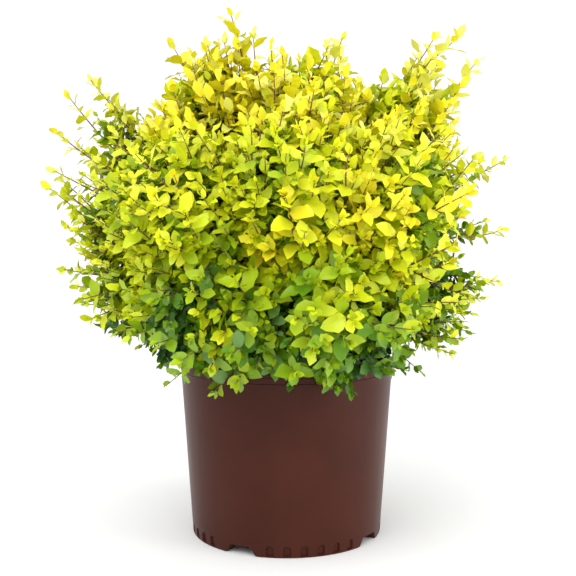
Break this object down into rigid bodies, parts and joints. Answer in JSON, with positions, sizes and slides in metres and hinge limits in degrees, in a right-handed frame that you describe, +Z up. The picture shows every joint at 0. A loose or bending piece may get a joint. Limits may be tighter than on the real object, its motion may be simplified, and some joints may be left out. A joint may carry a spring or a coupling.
{
  "type": "potted chinese privet",
  "caption": "Rounded twiggy shrub of golden-leaved Chinese privet on a short stem, growing in a plain round brown nursery pot with a notched foot.",
  "frame": {"origin": "middle of the pot's underside, at the level it stands on, on the pot's axis", "axes": "+Z up along the pot's axis; -Y is the front that the picture shows; +X is to its right"},
  "size_m": [0.6021, 0.5384, 0.674],
  "materials": {
    "pot_plastic": "satin moulded brown plastic",
    "potting_mix": "loose dark potting mix",
    "bark": "thin grey-brown bark",
    "leaf_gold": "waxy golden leaves",
    "leaf_lime": "waxy lime leaves",
    "leaf_green": "waxy green leaves"
  },
  "bodies": {
    "root": {"pot": "pot_plastic", "potting_mix": "potting_mix", "main_stem": "bark", "foliage_spire_left": "leaf_gold", "foliage_top_middle": "leaf_gold", "foliage_spire_right": "leaf_gold", "foliage_top_back": "leaf_gold", "foliage_wing_left_high": "leaf_lime", "foliage_wing_left": "leaf_lime", "foliage_front_left": "leaf_lime", "foliage_front_middle": "leaf_lime", "foliage_front_right": "leaf_lime", "foliage_wing_right": "leaf_lime", "foliage_back_left": "leaf_lime", "foliage_back_right": "leaf_lime", "foliage_low_left": "leaf_green", "foliage_low_front_left": "leaf_green", "foliage_low_front_right": "leaf_green", "foliage_low_right": "leaf_green", "foliage_low_back_left": "leaf_green", "foliage_low_back_right": "leaf_green", "bough_spire_left": "bark", "bough_top_middle": "bark", "bough_spire_right": "bark", "bough_top_back": "bark", "bough_wing_left_high": "bark", "bough_wing_left": "bark", "bough_front_left": "bark", "bough_front_middle": "bark", "bough_front_right": "bark", "bough_wing_right": "bark", "bough_back_left": "bark", "bough_back_right": "bark", "bough_low_left": "bark", "bough_low_front_left": "bark", "bough_low_front_right": "bark", "bough_low_right": "bark", "bough_low_back_left": "bark", "bough_low_back_right": "bark"}
  },
  "joints": []
}
